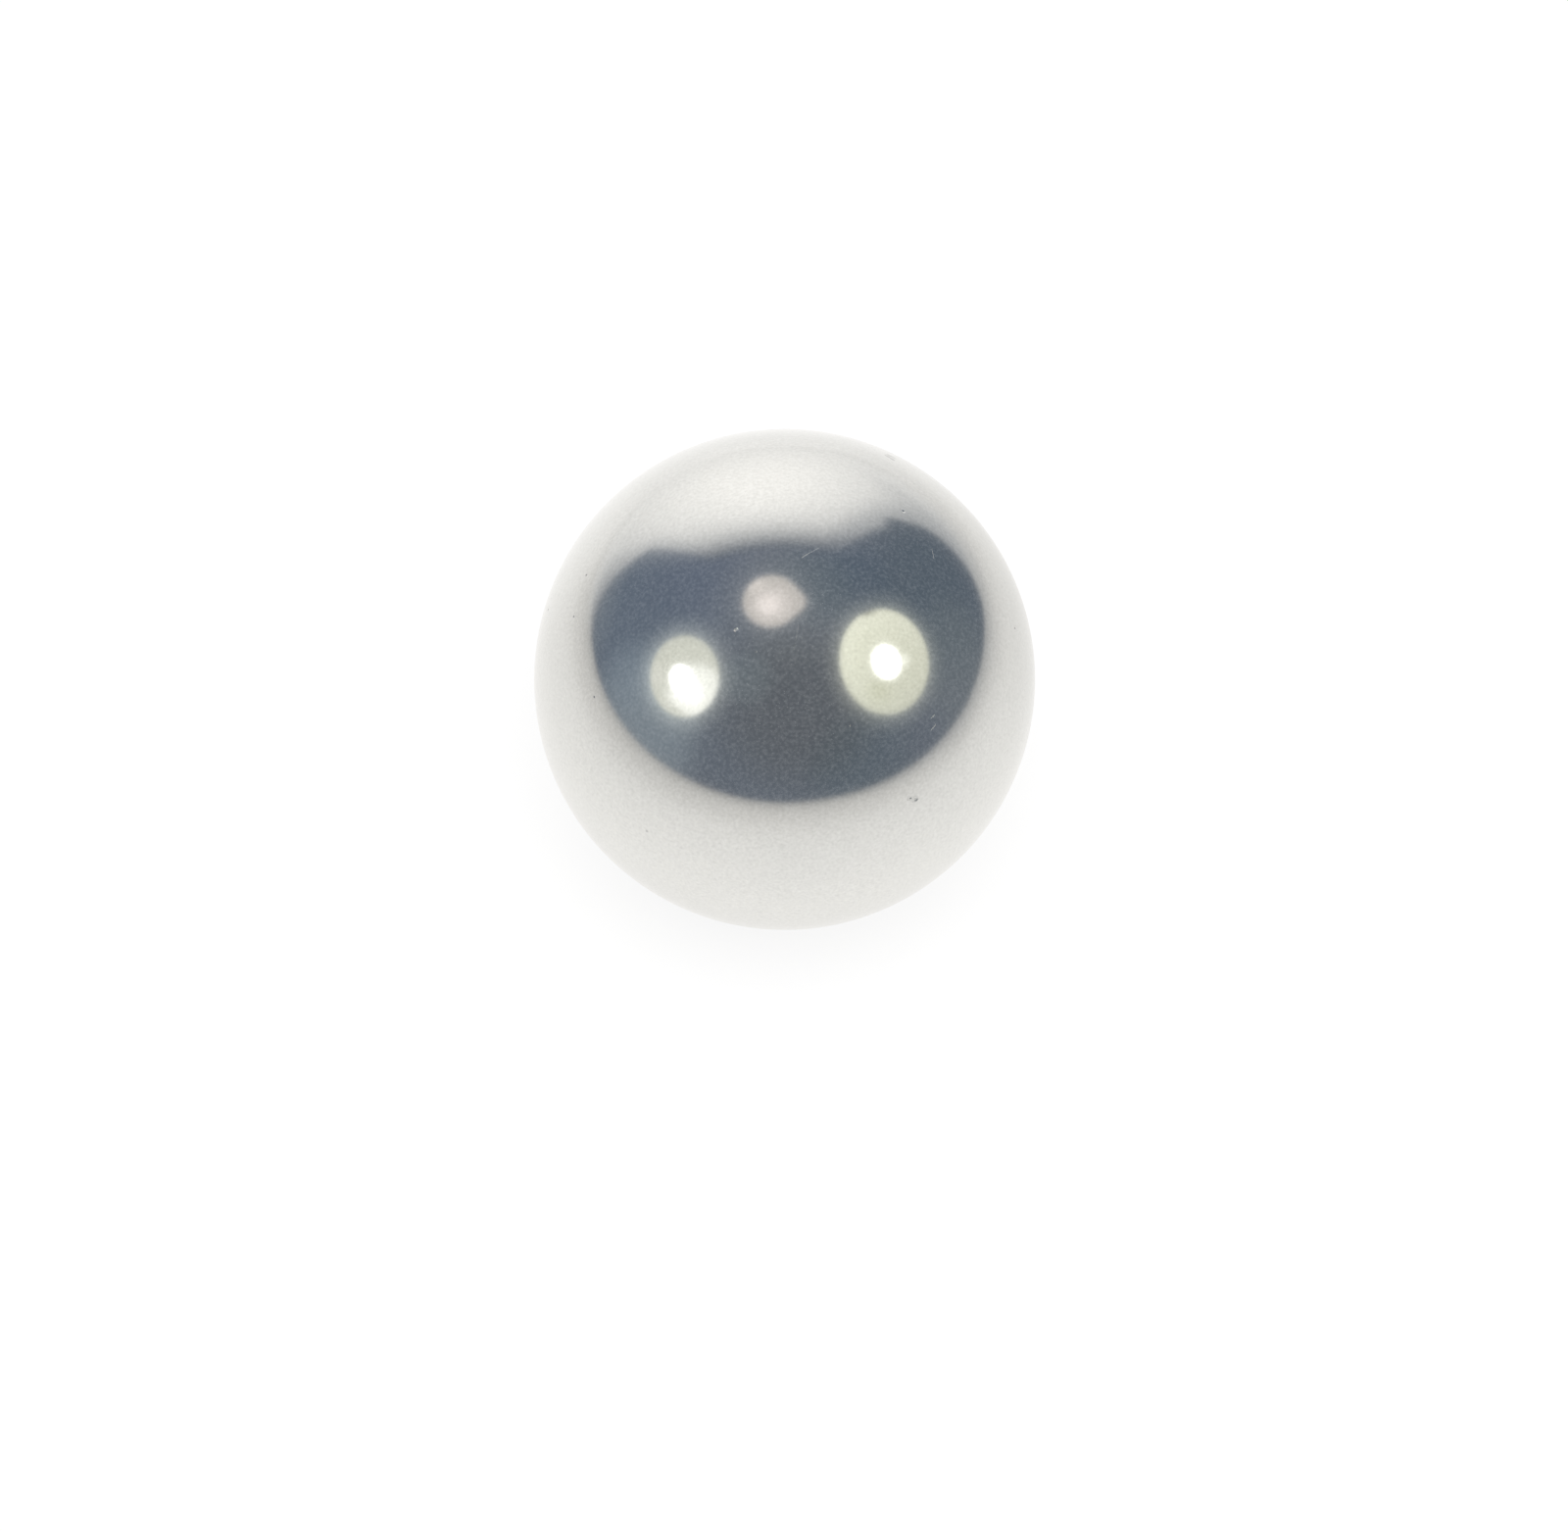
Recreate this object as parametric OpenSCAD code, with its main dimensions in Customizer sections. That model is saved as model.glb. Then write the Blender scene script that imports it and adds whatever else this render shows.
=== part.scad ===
// Solid steel ball, ground and lapped to a mirror, with a few small dents from use.
// Lengths are in millimetres. The origin is the centre of the ball and +Z is up.
// Every dent is a shallow round dish, placed by its latitude and longitude on the ball:
// latitude 0 is the equator and 90 the top, longitude 0 is +X and 90 is +Y.

/* [Ball] */
// Diameter of the ball
ball_d = 25.4; // [3:0.1:60]

/* [Nick] */
// Width of the nick, the largest dent, across its mouth
nick_w = 0.65; // [0.2:0.05:1]
// Depth of the nick below its mouth
nick_depth = 0.04; // [0.01:0.005:0.08]
// Latitude of the nick
nick_lat = 43.6; // [-90:0.1:90]
// Longitude of the nick
nick_lon = 54.5; // [-180:0.1:180]

/* [Double pit] */
// Width of the larger pit of the pair across its mouth
pit_w = 0.26; // [0.1:0.01:0.5]
// Width of the smaller pit of the pair across its mouth
small_pit_w = 0.14; // [0.05:0.01:0.5]
// Depth of both pits below their mouths
pit_depth = 0.02; // [0.005:0.005:0.04]
// Latitude of the larger pit
pit_lat = 19.6; // [-80:0.1:80]
// Longitude of the larger pit
pit_lon = -57.6; // [-180:0.1:180]
// Distance between the centres of the two pits
pit_gap = 0.36; // [0.1:0.01:1]
// Direction of the smaller pit from the larger, turned up from due west
pit_turn = 42; // [-180:1:180]

/* [Ding] */
// Width of the ding, the dent near the top, across its mouth
ding_w = 0.22; // [0.1:0.01:0.5]
// Depth of the ding below its mouth
ding_depth = 0.015; // [0.005:0.005:0.04]
// Latitude of the ding
ding_lat = 64; // [-90:0.1:90]
// Longitude of the ding
ding_lon = -114.8; // [-180:0.1:180]

/* [Pinhole] */
// Width of the pinhole, the dent high on the right, across its mouth
pinhole_w = 0.18; // [0.1:0.01:0.5]
// Depth of the pinhole below its mouth
pinhole_depth = 0.02; // [0.005:0.005:0.04]
// Latitude of the pinhole
pinhole_lat = 60.3; // [-90:0.1:90]
// Longitude of the pinhole
pinhole_lon = 22; // [-180:0.1:180]

/* [Hidden] */
$fn = 240;
ball_r = ball_d / 2;
degrees_per_mm = 180 / (PI * ball_r);

// A dish of the given mouth and depth, to be cut from the ball at a latitude and longitude.
// It is the part of a small sphere that dips below the plane of the dent's mouth.
module dish(mouth_w, depth, lat, lon) {
    mouth_r = mouth_w / 2;
    cutter_r = (mouth_r * mouth_r + depth * depth) / (2 * depth);
    mouth_height = sqrt(ball_r * ball_r - mouth_r * mouth_r);
    rotate([0, -lat, lon])
        translate([mouth_height + cutter_r - depth, 0, 0])
            sphere(r = cutter_r);
}

// The two pits lie side by side, the smaller one a known arc away from the larger.
module double_pit() {
    arc = pit_gap * degrees_per_mm;
    dish(pit_w, pit_depth, pit_lat, pit_lon);
    dish(small_pit_w, pit_depth,
         pit_lat + arc * sin(pit_turn),
         pit_lon - arc * cos(pit_turn) / cos(pit_lat));
}

module ball() {
    color("silver")
        difference() {
            sphere(r = ball_r);
            dish(nick_w, nick_depth, nick_lat, nick_lon);
            double_pit();
            dish(ding_w, ding_depth, ding_lat, ding_lon);
            dish(pinhole_w, pinhole_depth, pinhole_lat, pinhole_lon);
        }
}

ball();
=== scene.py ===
import math

import bmesh
import bpy
import numpy as np
from mathutils import Euler, Matrix, Vector


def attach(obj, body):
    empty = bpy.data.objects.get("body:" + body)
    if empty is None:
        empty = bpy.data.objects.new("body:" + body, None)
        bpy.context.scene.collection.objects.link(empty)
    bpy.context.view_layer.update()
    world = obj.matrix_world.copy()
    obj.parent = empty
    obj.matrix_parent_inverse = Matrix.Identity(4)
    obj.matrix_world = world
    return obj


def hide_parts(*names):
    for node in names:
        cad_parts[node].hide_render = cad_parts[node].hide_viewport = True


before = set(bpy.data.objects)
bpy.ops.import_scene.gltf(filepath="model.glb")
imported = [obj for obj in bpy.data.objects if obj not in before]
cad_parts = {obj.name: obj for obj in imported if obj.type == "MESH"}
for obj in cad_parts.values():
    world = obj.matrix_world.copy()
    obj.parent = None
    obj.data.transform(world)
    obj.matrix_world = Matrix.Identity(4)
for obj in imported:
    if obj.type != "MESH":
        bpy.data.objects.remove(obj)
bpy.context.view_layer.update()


# The camera stands in front of the bench, a quarter of a metre off, and looks steeply down.
# A long lens keeps the ball round, and the aim falls a little in front of it.
CAMERA_ELEVATION = math.radians(55.0)
CAMERA_DISTANCE = 0.24003
CAMERA_TILT = math.radians(1.041)
CAMERA_PAN = math.radians(0.012)
LENS = 108.5

camera_data = bpy.data.cameras.new("bench_camera")
camera_data.lens = LENS
camera_data.sensor_width = 36.0
camera_data.clip_start = 0.01
camera_data.clip_end = 20.0
camera = bpy.data.objects.new("bench_camera", camera_data)
bpy.context.collection.objects.link(camera)
camera.location = (
    0.0,
    -CAMERA_DISTANCE * math.cos(CAMERA_ELEVATION),
    CAMERA_DISTANCE * math.sin(CAMERA_ELEVATION),
)
camera.rotation_euler = Euler((math.pi / 2 - CAMERA_ELEVATION - CAMERA_TILT, 0.0, CAMERA_PAN))
bpy.context.scene.camera = camera


# The ball is one solid sphere of hardened chrome steel, ground and then lapped to a mirror.
# It is blown up from a cube cut into small squares, so that its skin has no poles, and the
# squares are cut finer where the ball has been knocked.
BALL_RADIUS = 0.0127
SQUARES_ALONG_EDGE = 72

bpy.ops.object.select_all(action="DESELECT")
bpy.ops.mesh.primitive_cube_add(size=2 * BALL_RADIUS, location=(0.0, 0.0, 0.0))
ball = bpy.context.object
ball.name = "lapped_ball"
bpy.ops.object.mode_set(mode="EDIT")
bpy.ops.mesh.select_all(action="SELECT")
bpy.ops.mesh.subdivide(number_cuts=SQUARES_ALONG_EDGE - 1)


# The dents are knocks from use: each is a shallow round dish with a low soft shoulder of
# steel pushed up round it. They are given by latitude and longitude, mouth and depth.
# The shoulder's reach and the cuts' are in half mouths, and its rise is a share of the depth.
DENTS = {
    "nick": (43.6, 54.5, 0.00065, 0.00004),
    "large_pit": (19.6, -57.6, 0.00026, 0.00002),
    "small_pit": (20.69, -58.88, 0.00014, 0.00002),
    "ding": (64.0, -114.8, 0.00022, 0.000015),
    "pinhole": (60.3, 22.0, 0.00018, 0.00002),
}
SHOULDER_REACH = 1.45
SHOULDER_RISE = 0.18
CUT_REACHES = (3.6, 2.8, 2.2, 1.7)
CUT_MARGIN = 0.0001


def direction(latitude, longitude):
    lat = math.radians(latitude)
    lon = math.radians(longitude)
    return Vector((math.cos(lat) * math.cos(lon), math.cos(lat) * math.sin(lon), math.sin(lat)))


def select_round_dents(mesh_in_edit, times):
    """All the dents at once, so that no square between two close dents is cut twice."""
    bpy.ops.mesh.select_all(action="DESELECT")
    skin = bmesh.from_edit_mesh(mesh_in_edit)
    for face in skin.faces:
        middle = face.calc_center_median().normalized()
        for latitude, longitude, mouth, depth in DENTS.values():
            gap = (middle - direction(latitude, longitude)).length * BALL_RADIUS
            if gap < times * mouth / 2 + CUT_MARGIN:
                face.select_set(True)
    bmesh.update_edit_mesh(mesh_in_edit)


for times in CUT_REACHES:
    select_round_dents(ball.data, times)
    bpy.ops.mesh.subdivide(number_cuts=1)

bpy.ops.object.mode_set(mode="OBJECT")

# unwrapped while it is still a cube: each side takes one cell of a sheet of three by two, and
# the arc tangent turns a place on the side into its angle on the ball
COLUMNS = 3
ROWS = 2
CELL_MARGIN = 0.004
ACROSS_AND_UP = ((1, 2), (0, 2), (0, 1))
unwrap = ball.data.uv_layers[0]
unwrap.name = "OFBake"
for face in ball.data.polygons:
    middle = face.center
    axis = max(range(3), key=lambda k: abs(middle[k]))
    sign = 1 if middle[axis] > 0 else -1
    cell = 2 * axis + (1 if sign < 0 else 0)
    across, upward = ACROSS_AND_UP[axis]
    mirrored_side = (sign < 0) != (axis == 1)
    for corner in face.loop_indices:
        spot = ball.data.vertices[ball.data.loops[corner].vertex_index].co / BALL_RADIUS
        to_the_side = math.atan(spot[across]) * 4 / math.pi
        up_the_side = math.atan(spot[upward]) * 4 / math.pi
        if mirrored_side:
            to_the_side = -to_the_side
        u = (cell % COLUMNS + 0.5 + to_the_side * (0.5 - COLUMNS * CELL_MARGIN)) / COLUMNS
        v = (cell // COLUMNS + 0.5 + up_the_side * (0.5 - ROWS * CELL_MARGIN)) / ROWS
        unwrap.data[corner].uv = (u, v)

bpy.ops.object.modifier_add(type="CAST")
blow_up = ball.modifiers[-1]
blow_up.cast_type = "SPHERE"
blow_up.factor = 1.0
blow_up.use_radius_as_size = False
blow_up.size = BALL_RADIUS
bpy.ops.object.modifier_apply(modifier=blow_up.name)

bpy.ops.object.mode_set(mode="EDIT")
bpy.context.tool_settings.mesh_select_mode = (True, False, False)
for latitude, longitude, mouth, depth in DENTS.values():
    towards = direction(latitude, longitude)
    bpy.ops.mesh.select_all(action="DESELECT")
    skin = bmesh.from_edit_mesh(ball.data)
    nearest = min(skin.verts, key=lambda v: (v.co - towards * BALL_RADIUS).length)
    nearest.select_set(True)
    bmesh.update_edit_mesh(ball.data)
    rise = depth * SHOULDER_RISE
    bpy.ops.transform.translate(
        value=towards * rise,
        use_proportional_edit=True,
        proportional_edit_falloff="SMOOTH",
        proportional_size=SHOULDER_REACH * mouth / 2,
    )
    bpy.ops.transform.translate(
        value=-towards * (depth + rise),
        use_proportional_edit=True,
        proportional_edit_falloff="INVERSE_SQUARE",
        proportional_size=mouth / 2,
    )
bpy.ops.object.mode_set(mode="OBJECT")

# outside the dents the skin is an exact sphere, so its normals are set straight out
DENTED_MARGIN = 0.00003
bpy.ops.object.shade_smooth()
spots = np.array([v.co for v in ball.data.vertices])
own_normals = np.array([v.normal for v in ball.data.vertices])
lengths = np.linalg.norm(spots, axis=1, keepdims=True)
dented = np.zeros(len(spots), bool)
for latitude, longitude, mouth, depth in DENTS.values():
    gap = np.linalg.norm(spots - np.array(direction(latitude, longitude)) * BALL_RADIUS, axis=1)
    dented |= gap < SHOULDER_REACH * mouth / 2 + DENTED_MARGIN
normals = np.where(dented[:, None], own_normals, spots / lengths)
ball.data.normals_split_custom_set_from_vertices(normals.tolist())

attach(ball, "root")
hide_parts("ball")


# The finish: bright steel with a faint haze from handling and a fine grain left by lapping.
# It has a few pinprick pits, and hairline scratches. Pits and scratches are rough inside. The
# edge of the nick is darkened with painted shade.
STEEL = (0.755, 0.756, 0.738)
STEEL_HAZED = (0.742, 0.744, 0.727)
HAZE_SIZE = 0.0075
HAZE_DETAIL = 4.0
HAZE_RANGE = (0.38, 0.66)
GRAIN_SIZE = 0.00016
GRAIN_DETAIL = 2.0
GRAIN_CONTRAST = 0.28
GRAIN_ROUGHNESS = 0.06
SPARKLE = 0.115
SPARKLE_START = 0.42
ROUGH_LAPPED = 0.098
ROUGH_HAZED = 0.112
ROUGH_MARK = 0.42
MARK_DEPTH = 0.000006
# the dark colour of the pits also paints the shade along the nick's edge
PIT_AND_SHADE_DARK = (0.30, 0.30, 0.30)
PIT_AND_SHADE_COVER = 0.8

# the pinpricks that stand out most, and two faint darker patches round the pits, by latitude,
# longitude, width and how dark
PINPRICKS = (
    (34.4, -173.3, 0.00012, 1.0),
    (31.1, -148.9, 0.00012, 1.0),
    (25.3, -3.4, 0.00013, 1.0),
    (60.5, -102.6, 0.00007, 1.0),
    (42.9, -70.1, 0.00007, 1.0),
    (9.4, -122.7, 0.00018, 0.45),
    (39.3, 176.1, 0.00012, 1.0),
    (20.2, 174.2, 0.00014, 1.0),
    (19.7, -57.8, 0.00044, 0.28),
    (20.8, -59.2, 0.00034, 0.20),
)
# the shaded edge of the nick, in two strokes: roughened and bumped like a mark, and darkened
# with painted shade
NICK_EDGE_AND_SHADE = (
    ((43.9, 55.9), (45.5, 53.6), 0.00050, 0.45),
    ((45.6, 53.9), (44.7, 52.2), 0.00040, 0.45),
)
# hairline scratches, from one latitude and longitude to another, their width and how deep
HAIRLINES = (
    ((81.8, -63.7), (81.9, -45.5), 0.000020, 0.42),
    ((81.9, -47.5), (81.2, -30.0), 0.000016, 0.25),
    ((55.25, 4.6), (54.85, -0.5), 0.000020, 1.0),
    ((35.6, -46.5), (35.8, -44.8), 0.000018, 0.4),
    ((33.2, -48.0), (33.7, -45.7), 0.000018, 0.5),
    ((67.4, -81.9), (48.5, -90.2), 0.000014, 0.15),
)

steel = bpy.data.materials.new("lapped_chrome_steel")
steel.use_nodes = True
shader = steel.node_tree.nodes["Principled BSDF"]
shader.inputs["Metallic"].default_value = 1.0


def put(tree, kind, **settings):
    node = tree.nodes.new(kind)
    for name, value in settings.items():
        setattr(node, name, value)
    return node


def feed(tree, socket, value):
    if isinstance(value, bpy.types.NodeSocket):
        tree.links.new(value, socket)
    else:
        socket.default_value = value


def ramp_between(tree, value, low, high, to_low=0.0, to_high=1.0):
    node = put(tree, "ShaderNodeMapRange", interpolation_type="SMOOTHSTEP")
    for name, setting in (
        ("Value", value),
        ("From Min", low),
        ("From Max", high),
        ("To Min", to_low),
        ("To Max", to_high),
    ):
        feed(tree, node.inputs[name], setting)
    return node.outputs["Result"]


def combine(tree, operation, first, second):
    node = put(tree, "ShaderNodeMath", operation=operation)
    feed(tree, node.inputs[0], first)
    feed(tree, node.inputs[1], second)
    return node.outputs["Value"]


def measure(tree, operation, vector, other=(0.0, 0.0, 0.0)):
    node = put(tree, "ShaderNodeVectorMath", operation=operation)
    feed(tree, node.inputs[0], vector)
    feed(tree, node.inputs[1], other)
    return node.outputs["Value"]


def shift(tree, operation, vector, other):
    node = put(tree, "ShaderNodeVectorMath", operation=operation)
    feed(tree, node.inputs[0], vector)
    if operation == "SCALE":
        feed(tree, node.inputs["Scale"], other)
    else:
        feed(tree, node.inputs[1], other)
    return node.outputs["Vector"]


def noise(tree, place, feature_size, detail):
    node = put(tree, "ShaderNodeTexNoise")
    node.inputs["Scale"].default_value = 1.0 / feature_size
    node.inputs["Detail"].default_value = detail
    tree.links.new(place, node.inputs["Vector"])
    return node.outputs["Fac"]


def blend_colours(tree, share, first, second):
    node = put(tree, "ShaderNodeMix", data_type="VECTOR")
    sockets = [s for s in node.inputs if s.type == "VECTOR" and s.enabled]
    feed(tree, node.inputs["Factor"], share)
    feed(tree, sockets[-2], first)
    feed(tree, sockets[-1], second)
    return [s for s in node.outputs if s.type == "VECTOR"][0]


tree = steel.node_tree
place = put(tree, "ShaderNodeTexCoord").outputs["Object"]
outward = put(tree, "ShaderNodeVectorMath", operation="NORMALIZE")
tree.links.new(place, outward.inputs[0])
outward = outward.outputs["Vector"]

haze = ramp_between(tree, noise(tree, place, HAZE_SIZE, HAZE_DETAIL), *HAZE_RANGE)
grain = noise(tree, place, GRAIN_SIZE, GRAIN_DETAIL)

# a mark is full up to the first share of its width or half length, and gone by the second
STROKE_SIDES = (0.3, 0.7)
STROKE_ENDS = (0.75, 1.05)
PINPRICK_SIDES = (0.3, 0.6)
FROSTED_SIDES = (0.3, 0.5)


def fading(tree, value, size, shares, strength=1.0):
    return ramp_between(tree, value, size * shares[0], size * shares[1], strength, 0.0)


def stroke(start, end, width, strength):
    """A straight mark from one latitude and longitude to another."""
    start = direction(*start)
    end = direction(*end)
    across = start.cross(end).normalized()
    middle = (start + end).normalized()
    off_line = combine(tree, "ABSOLUTE", measure(tree, "DOT_PRODUCT", place, across), 0.0)
    on_line = fading(tree, off_line, width, STROKE_SIDES)
    reach = (start - end).length * BALL_RADIUS / 2
    along = measure(tree, "DISTANCE", place, middle * BALL_RADIUS)
    within = fading(tree, along, reach, STROKE_ENDS)
    return combine(tree, "MULTIPLY", combine(tree, "MULTIPLY", on_line, within), strength)


# small pits are scattered over the underside and the back, one in each cell, and die away
# towards the clean side; the others are placed one by one
PIT_CELLS_PER_METRE = 620.0
SCATTERED_SIDES = (0.022, 0.036)
CLEAN_WAY = (0.0, -0.57, 0.82)
CLEAN_RANGE = (-0.1, 0.15)
pit_cells = put(tree, "ShaderNodeTexVoronoi")
pit_cells.inputs["Scale"].default_value = PIT_CELLS_PER_METRE
tree.links.new(place, pit_cells.inputs["Vector"])
scattered = ramp_between(tree, pit_cells.outputs["Distance"], *SCATTERED_SIDES, 1.0, 0.0)
towards_clean = measure(tree, "DOT_PRODUCT", outward, CLEAN_WAY)
unclean = ramp_between(tree, towards_clean, *CLEAN_RANGE, 1.0, 0.0)
pits_and_nick_shade = combine(tree, "MULTIPLY", scattered, unclean)
for latitude, longitude, width, strength in PINPRICKS:
    spot = direction(latitude, longitude) * BALL_RADIUS
    gap = measure(tree, "DISTANCE", place, spot)
    pits_and_nick_shade = combine(tree, "MAXIMUM", pits_and_nick_shade, fading(tree, gap, width, PINPRICK_SIDES, strength))
# the nick's edge adds painted shade to the pits' darkening, and roughness and bump with them
for start, end, width, strength in NICK_EDGE_AND_SHADE:
    pits_and_nick_shade = combine(tree, "MAXIMUM", pits_and_nick_shade, stroke(start, end, width, strength))

# the dishes of the ding and of the two pits are frosted, where steel was torn
frosting = 0.0
for name in ("ding", "large_pit", "small_pit"):
    latitude, longitude, mouth, depth = DENTS[name]
    gap = measure(tree, "DISTANCE", place, direction(latitude, longitude) * BALL_RADIUS)
    frosting = combine(tree, "MAXIMUM", frosting, fading(tree, gap, mouth, FROSTED_SIDES))

scratches = 0.0
for start, end, width, strength in HAIRLINES:
    scratches = combine(tree, "MAXIMUM", scratches, stroke(start, end, width, strength))
marks = combine(tree, "MAXIMUM", pits_and_nick_shade, scratches)
worn = combine(tree, "MAXIMUM", marks, frosting)

colour = blend_colours(tree, haze, STEEL, STEEL_HAZED)
grain_tone = combine(tree, "MULTIPLY", combine(tree, "SUBTRACT", grain, 0.5), GRAIN_CONTRAST)
colour = shift(tree, "SCALE", colour, combine(tree, "ADD", grain_tone, 1.0))
# darker in the pits, and painted shade along the nick's edge
colour = blend_colours(tree, combine(tree, "MULTIPLY", pits_and_nick_shade, PIT_AND_SHADE_COVER), colour, PIT_AND_SHADE_DARK)
tree.links.new(colour, shader.inputs["Base Color"])

# the tips of the grain scatter a trace of light
tips = combine(tree, "MAXIMUM", combine(tree, "SUBTRACT", grain, SPARKLE_START), 0.0)
metal = combine(tree, "SUBTRACT", 1.0, combine(tree, "MULTIPLY", tips, SPARKLE))
tree.links.new(metal, shader.inputs["Metallic"])

rough = ramp_between(tree, haze, 0.0, 1.0, ROUGH_LAPPED, ROUGH_HAZED)
rough = combine(tree, "ADD", rough, combine(tree, "MULTIPLY", grain_tone, GRAIN_ROUGHNESS))
rough = combine(tree, "ADD", rough, combine(tree, "MULTIPLY", worn, ROUGH_MARK - ROUGH_LAPPED))
tree.links.new(rough, shader.inputs["Roughness"])

bump = put(tree, "ShaderNodeBump")
bump.invert = True
bump.inputs["Strength"].default_value = 1.0
bump.inputs["Distance"].default_value = MARK_DEPTH
tree.links.new(marks, bump.inputs["Height"])
tree.links.new(bump.outputs["Normal"], shader.inputs["Normal"])
ball.data.materials.clear()
ball.data.materials.append(steel)


# The bench is covered with a wide sheet of white card, which lies flat under the ball, turns
# up in a curve behind it and stands straight. The steel sees it by a painted glow: a painted
# pool of light, bright near the ball and dimming outwards.
# Sizes on the card, and on the lamps after it, are in ball radii.
R = BALL_RADIUS
SHEET_LEFT = -76.0
SHEET_RIGHT = 36.0
SHEET_FRONT = -76.0
SHEET_BACK = 18.4
SHEET_TOP = 44.0
TURN_RADIUS = 8.0
TURN_STEPS = 24

bpy.ops.object.select_all(action="DESELECT")
bpy.ops.mesh.primitive_plane_add(size=1.0, location=(0.0, 0.0, 0.0))
sheet = bpy.context.object
sheet.name = "card_sheet"
turn_start = (SHEET_BACK - TURN_RADIUS) * R
for vertex in sheet.data.vertices:
    vertex.co.x = R * (SHEET_RIGHT if vertex.co.x > 0 else SHEET_LEFT)
    vertex.co.y = turn_start if vertex.co.y > 0 else SHEET_FRONT * R
    vertex.co.z = -R
bpy.ops.object.mode_set(mode="EDIT")
bpy.context.tool_settings.mesh_select_mode = (False, True, False)
bpy.ops.mesh.select_all(action="DESELECT")
skin = bmesh.from_edit_mesh(sheet.data)
for edge in skin.edges:
    if all(v.co.y > 0 for v in edge.verts):
        edge.select_set(True)
bmesh.update_edit_mesh(sheet.data)
bpy.ops.mesh.spin(
    steps=TURN_STEPS,
    angle=-math.pi / 2,
    center=(0.0, turn_start, (TURN_RADIUS - 1.0) * R),
    axis=(1.0, 0.0, 0.0),
)
bpy.ops.mesh.extrude_region_move(
    TRANSFORM_OT_translate={"value": (0.0, 0.0, (SHEET_TOP + 1.0 - TURN_RADIUS) * R)}
)
bpy.ops.object.mode_set(mode="OBJECT")
bpy.ops.object.shade_smooth()

card = bpy.data.materials.new("white_card")
card.use_nodes = True
card.cycles.emission_sampling = "NONE"
tree = card.node_tree
tree.nodes.clear()
spot = shift(tree, "SCALE", put(tree, "ShaderNodeTexCoord").outputs["Object"], 1.0 / R)
parts = put(tree, "ShaderNodeSeparateXYZ")
tree.links.new(spot, parts.inputs[0])
x_axis, y_axis, z_axis = parts.outputs
distance = measure(tree, "LENGTH", shift(tree, "MULTIPLY", spot, (1.0, 1.0, 0.0)))


def profile(tree, value, points, tint=(1.0, 1.0, 1.0)):
    """A ramp through (value, level) points; it stays level before the first and after the last."""
    first = points[0][0]
    span = points[-1][0] - first
    ramp = put(tree, "ShaderNodeValToRGB")
    share = combine(tree, "DIVIDE", combine(tree, "SUBTRACT", value, first), span)
    tree.links.new(share, ramp.inputs[0])
    stops = ramp.color_ramp.elements
    for number, (at, level) in enumerate(points):
        stop = stops[number] if number < 2 else stops.new((at - first) / span)
        stop.position = (at - first) / span
        stop.color = (*(level * part for part in tint), 1.0)
    return ramp.outputs["Color"]


def square(tree, value):
    return combine(tree, "MULTIPLY", value, value)


def past(tree, value, start):
    return combine(tree, "MAXIMUM", combine(tree, "SUBTRACT", value, start), 0.0)


# the flat part: how bright it is at each distance from the ball
CARD_TINT = (1.0, 0.985, 0.96)
FLAT_GLOW = (
    (1.4, 0.965),
    (2.4, 0.90),
    (3.3, 0.865),
    (4.8, 0.83),
    (6.6, 0.78),
    (8.3, 0.75),
    (14.0, 0.655),
    (21.0, 0.58),
    (45.0, 0.49),
)
flat_glow = profile(tree, distance, FLAT_GLOW, CARD_TINT)

# the standing part: brightest a little left of the ball, and dimmer towards its edges
ROOM = (0.154, 0.179, 0.220)
BRIGHTEST = 1.192
BRIGHT_SPOT = (-2.8, 8.6)
FADE_RIGHT = 0.0022
FADE_LEFT = (0.0016, 0.00145)
FADE_LEFT_HEIGHTS = (-1.0, 7.0)
FADE_DOWN = 0.0021
FADE_UP = 0.00149
FADE_TOP = 0.00000296
from_spot = combine(tree, "SUBTRACT", x_axis, BRIGHT_SPOT[0])
to_the_right = square(tree, combine(tree, "MAXIMUM", from_spot, 0.0))
to_the_left = square(tree, combine(tree, "MINIMUM", from_spot, 0.0))
over_spot = combine(tree, "SUBTRACT", z_axis, BRIGHT_SPOT[1])
downwards = square(tree, combine(tree, "MINIMUM", over_spot, 0.0))
upwards = square(tree, combine(tree, "MAXIMUM", over_spot, 0.0))
high_up = square(tree, upwards)
left_rate = ramp_between(tree, z_axis, *FADE_LEFT_HEIGHTS, *FADE_LEFT)
fade = 0.0
for squared, rate in (
    (to_the_right, FADE_RIGHT),
    (to_the_left, left_rate),
    (downwards, FADE_DOWN),
    (upwards, FADE_UP),
    (high_up, FADE_TOP),
):
    fade = combine(tree, "ADD", fade, combine(tree, "MULTIPLY", squared, rate))
level = combine(tree, "POWER", math.e, combine(tree, "MULTIPLY", fade, -1.0))
brightest = tuple(BRIGHTEST * part for part in CARD_TINT)
standing_glow = blend_colours(tree, level, ROOM, brightest)

# its painted light spreads over a sector of the flat part too, from behind the ball to the turn
SECTOR_MIDDLE = math.radians(-168.0)
SECTOR_EDGE = 0.60
SECTOR_HEART = 1.02
BEHIND_RANGE = (3.0, 14.5)
sector_way = (math.sin(SECTOR_MIDDLE), -math.cos(SECTOR_MIDDLE), 0.0)
in_sector = combine(tree, "DIVIDE", measure(tree, "DOT_PRODUCT", spot, sector_way), distance)
behind = ramp_between(tree, in_sector, SECTOR_EDGE, SECTOR_HEART)
behind = combine(tree, "MAXIMUM", behind, ramp_between(tree, y_axis, *BEHIND_RANGE))
glow = blend_colours(tree, behind, flat_glow, standing_glow)
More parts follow.
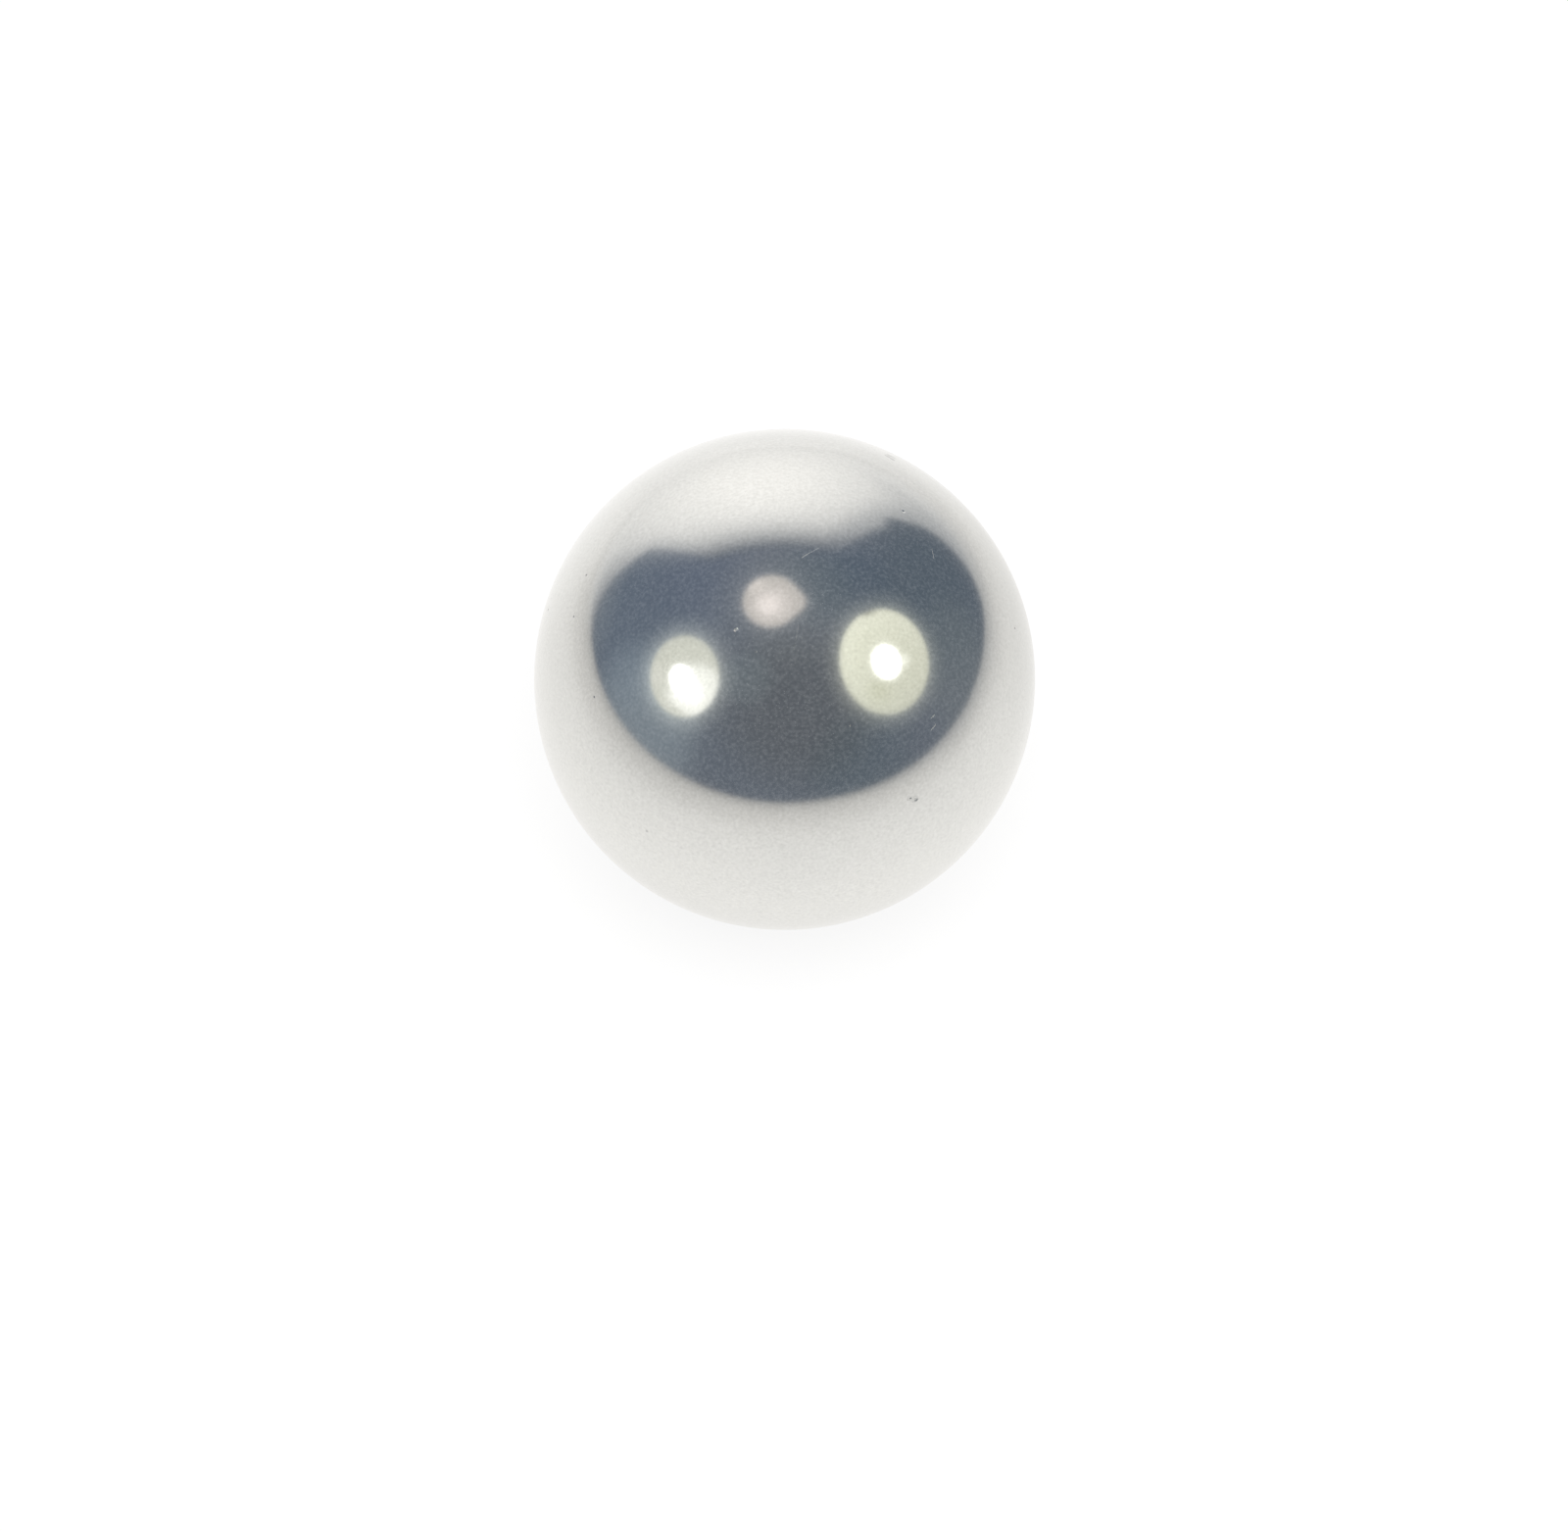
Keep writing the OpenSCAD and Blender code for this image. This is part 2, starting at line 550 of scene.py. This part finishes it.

# painted shade makes it a little dimmer close to the ball at the right, and painted light makes
# it brighter behind and at the left
PAINTED_SHADE_AND_LIGHT_SPOTS = (
    # middle, where the change starts to die away, where it ends, change of level
    ((2.0, 1.4, -1.0), 0.2, 2.2, 0.90),
    ((4.4, 1.8, -1.0), 0.5, 2.6, 0.93),
    ((3.4, 3.3, -1.0), 0.0, 1.6, 0.95),
    ((4.1, 7.3, -1.0), 0.0, 3.5, 1.115),
    ((8.4, 7.4, -1.0), 0.3, 3.0, 1.05),
    ((-0.4, 8.6, -1.0), 0.5, 4.2, 1.052),
    ((-4.8, 1.6, -1.0), 0.5, 3.4, 1.03),
    ((-6.8, 5.0, -1.0), 0.8, 4.6, 1.055),
)
for middle, near, far, change in PAINTED_SHADE_AND_LIGHT_SPOTS:
    gap = measure(tree, "DISTANCE", spot, middle)
    glow = shift(tree, "SCALE", glow, ramp_between(tree, gap, near, far, change, 1.0))

# near the ball part of the light is real shading, so that the ball keeps its shadow
SHADED_SHARE = 0.2
SHADED_RANGE = (2.0, 8.0)
CARD_WHITE = 0.80
lit = put(tree, "ShaderNodeBsdfDiffuse")
lit.inputs["Color"].default_value = (*(CARD_WHITE * part for part in CARD_TINT), 1.0)
glowing = put(tree, "ShaderNodeEmission")
tree.links.new(glow, glowing.inputs["Color"])


def mix_shaders(tree, share, first, second):
    node = put(tree, "ShaderNodeMixShader")
    feed(tree, node.inputs["Fac"], share)
    tree.links.new(first, node.inputs[1])
    tree.links.new(second, node.inputs[2])
    return node.outputs[0]


glow_share = ramp_between(tree, distance, *SHADED_RANGE, 1.0 - SHADED_SHARE, 1.0)
mirrored = mix_shaders(tree, glow_share, lit.outputs[0], glowing.outputs[0])

# The lit part ends sharply at the right, after a slow fade. Its edge there is given by how far
# back it is; where the card stands it leans in, and has a small notch, by height.
RIGHT_FADE = (
    (-7.5, 1.0),
    (-6.5, 0.975),
    (-5.4, 0.91),
    (-4.2, 0.80),
    (-2.8, 0.685),
    (-1.1, 0.60),
    (0.5, 0.56),
)
RIGHT_END = ((-0.9, 1.0), (0.8, 0.24), (2.0, 0.10), (8.0, 0.0))
RIGHT_EDGE = (
    (-4.5, 15.3),
    (-2.0, 14.1),
    (0.0, 14.6),
    (3.5, 12.9),
    (6.5, 11.4),
    (9.0, 13.7),
    (12.6, 16.3),
    (14.3, 17.05),
)
FADE_LEAN = (
    (0.0, 0.0),
    (4.0, 1.05),
    (6.0, 1.75),
    (8.0, 1.75),
    (10.0, 1.9),
    (12.0, 2.2),
    (14.0, 2.4),
    (20.0, 2.75),
)
END_LEAN = (
    (0.0, 0.0),
    (2.0, 0.45),
    (4.0, 1.3),
    (6.0, 1.8),
    (7.0, 2.15),
    (8.0, 2.85),
    (9.0, 3.55),
    (10.0, 3.7),
    (11.0, 3.4),
    (12.0, 2.95),
    (13.0, 2.45),
)
FADE_STRETCH = ((-1.0, 1.4), (1.0, 1.9), (3.0, 1.5), (5.0, 1.0))
END_STRETCH = ((-1.0, 1.4), (5.0, 1.0))
GENTLER = 0.2
GENTLER_BACK = (4.0, 8.0)
GENTLER_UP = (2.5, 5.0)
past_edge = combine(tree, "SUBTRACT", x_axis, profile(tree, y_axis, RIGHT_EDGE))
over_fade = combine(tree, "ADD", past_edge, profile(tree, z_axis, FADE_LEAN))
over_fade = combine(tree, "DIVIDE", over_fade, profile(tree, z_axis, FADE_STRETCH))
gentler = combine(
    tree,
    "MULTIPLY",
    ramp_between(tree, y_axis, *GENTLER_BACK, 0.0, GENTLER),
    ramp_between(tree, z_axis, *GENTLER_UP, 1.0, 0.0),
)
right_fade = profile(tree, over_fade, RIGHT_FADE)
lost = combine(tree, "MULTIPLY", combine(tree, "SUBTRACT", 1.0, right_fade), gentler)
right_fade = combine(tree, "ADD", right_fade, lost)
over_end = combine(tree, "ADD", past_edge, profile(tree, z_axis, END_LEAN))
over_end = combine(tree, "DIVIDE", over_end, profile(tree, z_axis, END_STRETCH))
right_share = combine(tree, "MULTIPLY", right_fade, profile(tree, over_end, RIGHT_END))

# At the left it ends sharply where the card stands, and softly where it lies; the edge and
# its softness are given by height.
LEFT_END = (
    (-4.4, 1.0),
    (-3.6, 0.90),
    (-1.4, 0.82),
    (-0.3, 0.53),
    (0.8, 0.27),
    (2.6, 0.15),
    (8.0, 0.03),
    (14.0, 0.0),
)
LEFT_EDGE = ((-1.0, 38.0), (0.0, 26.0), (2.0, 18.2), (4.0, 13.2), (7.0, 9.4), (9.0, 7.0), (11.0, 4.8))
LEFT_SOFTNESS = ((-1.0, 5.0), (0.0, 5.0), (2.0, 3.5), (4.0, 2.4), (7.0, 1.6), (11.0, 1.0))
SPREAD_START = 4.0
SPREAD_RATE = 1.2
spread = combine(tree, "MULTIPLY", past(tree, y_axis, SPREAD_START), SPREAD_RATE)
over_left = combine(tree, "MULTIPLY", combine(tree, "ADD", x_axis, spread), -1.0)
over_left = combine(tree, "SUBTRACT", over_left, profile(tree, z_axis, LEFT_EDGE))
over_left = combine(tree, "DIVIDE", over_left, profile(tree, z_axis, LEFT_SOFTNESS))
left_share = profile(tree, over_left, LEFT_END)

# in front it fades over a long way, and at the top over a short one
FRONT_RANGE = (-62.0, -9.0)
TOP_RANGE = (31.0, 42.0)
front_share = ramp_between(tree, y_axis, *FRONT_RANGE)
top_share = ramp_between(tree, z_axis, *TOP_RANGE, 1.0, 0.0)
shown = combine(tree, "MULTIPLY", right_share, left_share)
shown = combine(tree, "MULTIPLY", shown, combine(tree, "MULTIPLY", front_share, top_share))
clear = put(tree, "ShaderNodeBsdfTransparent")
mirrored = mix_shaders(tree, shown, clear.outputs[0], mirrored)

# looked at straight, it is plain white but for the ball's shadow
WHITE_RANGE = (1.5, 9.0)
plain_white = put(tree, "ShaderNodeEmission")
white_share = ramp_between(tree, distance, *WHITE_RANGE, 1.0 - SHADED_SHARE, 1.0)
seen = mix_shaders(tree, white_share, lit.outputs[0], plain_white.outputs[0])
rays = put(tree, "ShaderNodeLightPath")
surface = put(tree, "ShaderNodeOutputMaterial")
either = mix_shaders(tree, rays.outputs["Is Camera Ray"], mirrored, seen)
tree.links.new(either, surface.inputs["Surface"])
sheet.data.materials.clear()
sheet.data.materials.append(card)


# Two round dish lamps stand in front, one each side, and a round light hangs from the ceiling.
# A dish is a pale ring round a bright bulb, with a soft halo. Only the steel shows them.
DISC_CORNERS = 96
HALO_END = 3.5


def way(azimuth, elevation):
    """From the ball; azimuth 0 is the front, and 90 the right."""
    az = math.radians(azimuth)
    el = math.radians(elevation)
    return Vector((math.sin(az) * math.cos(el), -math.cos(az) * math.cos(el), math.sin(el)))


def dish_lamp(name, azimuth, elevation, distance, radius):
    away = way(azimuth, elevation)
    bpy.ops.object.select_all(action="DESELECT")
    bpy.ops.mesh.primitive_circle_add(vertices=DISC_CORNERS, radius=radius * R, fill_type="NGON")
    lamp = bpy.context.object
    lamp.name = name
    turn = (-away).to_track_quat("Z", "Y").to_matrix().to_4x4()
    lamp.matrix_world = Matrix.Translation(away * distance * R) @ turn
    lamp.visible_camera = False
    lamp.visible_diffuse = False
    lamp.visible_shadow = False
    return lamp


def lamp_glow(
    name,
    middle,
    rim,
    edge,
    ring,
    ring_slope,
    patches,
    halo,
    halo_reach,
    point=0.0,
    point_power=1.0,
    point_way=(0.0, 1.0, 0.0),
):
    """A disc that glows: a ring inside the rim, and a halo that dies away outside it.

    The patches on the ring are the bulb, and what is lighter or darker round it. Each has a
    centre, a stretch, where it starts to die away, where it ends, and its change of colour.
    The halo and rim may come to a point: how far, how sharply and which way.
    """
    glowing = bpy.data.materials.new(name)
    glowing.use_nodes = True
    tree = glowing.node_tree
    tree.nodes.clear()
    spot = shift(tree, "SCALE", put(tree, "ShaderNodeTexCoord").outputs["Object"], 1.0 / R)
    slope = combine(tree, "ADD", measure(tree, "DOT_PRODUCT", spot, ring_slope), 1.0)
    colour = shift(tree, "SCALE", ring, slope)
    for centre, stretch, near, far, change in patches:
        offset = shift(tree, "MULTIPLY", shift(tree, "SUBTRACT", spot, centre), stretch)
        inside = ramp_between(tree, measure(tree, "LENGTH", offset), near, far, 1.0, 0.0)
        colour = shift(tree, "ADD", colour, shift(tree, "SCALE", change, inside))
    from_middle = shift(tree, "SUBTRACT", spot, middle)
    radius = measure(tree, "LENGTH", from_middle)
    if point:
        upright = measure(tree, "DOT_PRODUCT", from_middle, point_way)
        upright = combine(tree, "MAXIMUM", combine(tree, "DIVIDE", upright, radius), 0.0)
        reach = combine(tree, "MULTIPLY", combine(tree, "POWER", upright, point_power), point)
        radius = combine(tree, "DIVIDE", radius, combine(tree, "ADD", reach, 1.0))
    solid = ramp_between(tree, radius, rim - edge, rim + edge, 1.0, 0.0)
    outside = combine(tree, "MAXIMUM", combine(tree, "SUBTRACT", radius, rim), 0.0)
    fall = combine(tree, "POWER", math.e, combine(tree, "DIVIDE", outside, -halo_reach))
    end = ramp_between(tree, radius, rim + halo_reach, rim + HALO_END * halo_reach, 1.0, 0.0)
    halo_glow = shift(tree, "SCALE", halo, combine(tree, "MULTIPLY", fall, end))
    bright = put(tree, "ShaderNodeEmission")
    tree.links.new(colour, bright.inputs["Color"])
    faint = put(tree, "ShaderNodeEmission")
    tree.links.new(halo_glow, faint.inputs["Color"])
    clear = put(tree, "ShaderNodeBsdfTransparent")
    around = put(tree, "ShaderNodeAddShader")
    tree.links.new(faint.outputs[0], around.inputs[0])
    tree.links.new(clear.outputs[0], around.inputs[1])
    front = mix_shaders(tree, solid, around.outputs[0], bright.outputs[0])
    facing = put(tree, "ShaderNodeNewGeometry")
    surface = put(tree, "ShaderNodeOutputMaterial")
    either = mix_shaders(tree, facing.outputs["Backfacing"], front, clear.outputs[0])
    tree.links.new(either, surface.inputs["Surface"])
    return glowing


ROUND = (1.0, 1.0, 1.0)
right_lamp = dish_lamp(
    "right_dish_lamp", azimuth=67.7, elevation=39.6, distance=19.5, radius=16.0
)
right_lamp.data.materials.append(
    lamp_glow(
        "right_lamp_glow",
        middle=(-0.03, 0.03, 0.0),
        rim=7.64,
        edge=0.15,
        ring=(0.935, 0.945, 0.79),
        ring_slope=(0.0, 0.020, 0.0),
        patches=(
            ((0.0, 0.1, 0.0), ROUND, 3.2, 6.2, (-0.05, -0.05, -0.05)),
            ((0.0, -0.05, 0.0), (1.0, 0.95, 1.0), 1.9, 2.45, (3.0, 3.0, 3.0)),
            ((-2.15, -2.35, 0.0), ROUND, 0.2, 1.4, (0.31, 0.31, 0.31)),
            ((3.8, -1.7, 0.0), ROUND, 0.0, 3.2, (-0.08, -0.08, -0.10)),
            ((-4.4, 6.3, 0.0), ROUND, 0.2, 1.0, (-0.55, -0.56, -0.45)),
            ((-5.3, 5.65, 0.0), ROUND, 0.2, 1.1, (-0.45, -0.46, -0.37)),
            ((-6.1, 4.9, 0.0), ROUND, 0.0, 0.9, (-0.30, -0.30, -0.25)),
        ),
        halo=(0.19, 0.19, 0.16),
        halo_reach=1.55,
    )
)
left_lamp = dish_lamp(
    "left_dish_lamp", azimuth=-61.8, elevation=35.7, distance=22.0, radius=14.5
)
left_lamp.data.materials.append(
    lamp_glow(
        "left_lamp_glow",
        middle=(-0.05, 0.12, 0.0),
        rim=6.52,
        edge=0.2,
        ring=(0.82, 0.83, 0.74),
        ring_slope=(-0.004, 0.0, 0.0),
        patches=(
            ((0.05, -0.45, 0.0), (0.93, 1.04, 1.0), 1.75, 2.15, (3.0, 3.0, 3.0)),
            ((-3.7, 0.2, 0.0), ROUND, 3.4, 5.6, (0.40, 0.40, 0.41)),
            ((-3.0, -0.6, 0.0), ROUND, 0.0, 3.4, (0.44, 0.44, 0.46)),
            ((-0.8, -3.5, 0.0), ROUND, 0.0, 2.8, (0.30, 0.30, 0.31)),
            ((3.6, -3.6, 0.0), ROUND, 0.0, 3.0, (0.10, 0.09, 0.10)),
        ),
        halo=(0.25, 0.26, 0.24),
        halo_reach=1.7,
    )
)
ceiling_light = dish_lamp(
    "ceiling_light", azimuth=-87.0, elevation=85.2, distance=26.0, radius=12.0
)
ceiling_light.data.materials.append(
    lamp_glow(
        "ceiling_glow",
        middle=(0.25, -0.38, 0.0),
        rim=5.48,
        edge=0.7,
        ring=(0.70, 0.66, 0.63),
        ring_slope=(0.0, 0.0, 0.0),
        patches=(
            ((-0.6, -0.3, 0.0), ROUND, 0.0, 5.6, (0.26, 0.235, 0.235)),
            ((-0.5, -1.1, 0.0), ROUND, 1.2, 3.0, (0.16, 0.142, 0.138)),
            ((4.3, -3.2, 0.0), ROUND, 0.0, 3.0, (0.24, 0.22, 0.21)),
        ),
        halo=(0.07, 0.07, 0.07),
        halo_reach=1.3,
        point=0.23,
        point_power=12.0,
        point_way=(-0.10, 0.995, 0.0),
    )
)

# A broad soft light over the bench gives the card its shading. The steel doesn't show it.
SOFT_ANGLE = math.radians(75.0)
SOFT_STRENGTH = 4.6
SOFT_PLACE = (0.02, -0.14, 0.33)
soft_data = bpy.data.lights.new("soft_light", "SUN")
soft_data.angle = SOFT_ANGLE
soft_data.energy = SOFT_STRENGTH
soft_light = bpy.data.objects.new("soft_light", soft_data)
bpy.context.collection.objects.link(soft_light)
soft_light.location = SOFT_PLACE
soft_light.rotation_euler = (-soft_light.location).to_track_quat("-Z", "Y").to_euler()
soft_light.visible_glossy = False
soft_light.visible_camera = False


# The room round the bench is dim and bluish grey, a little lighter by the left lamp and over
# the bench, and darker at the right. To the camera it is plain white.
ROOM_PATCHES = (
    # azimuth, elevation, reach in degrees, change of colour
    (115.0, 25.0, 45.0, (-0.035, -0.028, -0.028)),
    (8.0, 42.0, 46.0, (-0.014, -0.024, -0.042)),
    (-66.0, 8.0, 34.0, (0.10, 0.12, 0.125)),
    (33.0, 9.0, 30.0, (-0.020, -0.014, -0.018)),
    (92.0, 6.0, 28.0, (0.035, 0.035, 0.025)),
    (-112.0, 0.0, 16.0, (0.035, 0.035, 0.030)),
    (120.0, 60.0, 24.0, (-0.020, -0.016, -0.015)),
    (-116.0, 46.0, 28.0, (-0.015, -0.018, -0.020)),
    (-110.0, 28.0, 50.0, (0.0, 0.012, 0.03)),
    (-165.0, 62.0, 60.0, (0.02, 0.02, 0.032)),
    (0.0, 90.0, 35.0, (0.03, 0.03, 0.02)),
    (130.0, 74.0, 24.0, (-0.022, -0.016, -0.022)),
    (-28.0, 52.0, 15.0, (0.03, 0.04, 0.04)),
)
world = bpy.data.worlds.new("dim_room")
bpy.context.scene.world = world
world.use_nodes = True
tree = world.node_tree
tree.nodes.clear()
look = put(tree, "ShaderNodeTexCoord").outputs["Generated"]
colour = ROOM
for azimuth, elevation, reach, change in ROOM_PATCHES:
    nearness = measure(tree, "DOT_PRODUCT", look, way(azimuth, elevation))
    share = ramp_between(tree, nearness, math.cos(math.radians(reach)), 1.0)
    colour = shift(tree, "ADD", colour, shift(tree, "SCALE", change, share))
dim = put(tree, "ShaderNodeBackground")
tree.links.new(colour, dim.inputs["Color"])
white = put(tree, "ShaderNodeBackground")
white.inputs["Color"].default_value = (1.0, 1.0, 1.0, 1.0)
rays = put(tree, "ShaderNodeLightPath")
surface = put(tree, "ShaderNodeOutputWorld")
either = mix_shaders(tree, rays.outputs["Is Camera Ray"], dim.outputs[0], white.outputs[0])
tree.links.new(either, surface.inputs["Surface"])
bpy.context.scene.view_settings.view_transform = "Standard"
